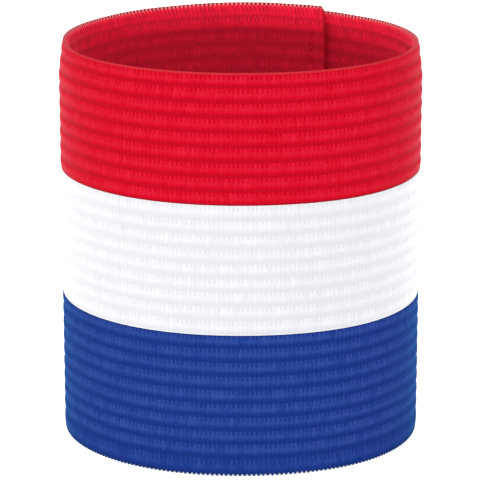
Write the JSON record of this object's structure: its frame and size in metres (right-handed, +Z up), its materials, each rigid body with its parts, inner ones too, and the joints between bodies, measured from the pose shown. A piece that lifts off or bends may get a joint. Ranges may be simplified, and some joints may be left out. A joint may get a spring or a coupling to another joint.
{
  "type": "captain armband",
  "caption": "Rib-knitted elastic captain armband: a round tube in red, white and blue bands, open at both ends and closed by a lapped, sewn seam. It stands on its lower rim.",
  "frame": {"origin": "middle of the lower rim, on the surface that the armband stands on", "axes": "+Z up along the tube's axis, from the blue rim to the red one; +X to the right of the pictured side; +Y to the back, where the lapped seam is"},
  "size_m": [0.082, 0.082, 0.0904],
  "materials": {
    "red_knit": "matt ribbed elastic knit, red yarn",
    "white_knit": "matt ribbed elastic knit, white yarn",
    "blue_knit": "matt ribbed elastic knit, blue yarn"
  },
  "bodies": {
    "root": {"red_band": "red_knit", "white_band": "white_knit", "blue_band": "blue_knit"}
  },
  "joints": []
}
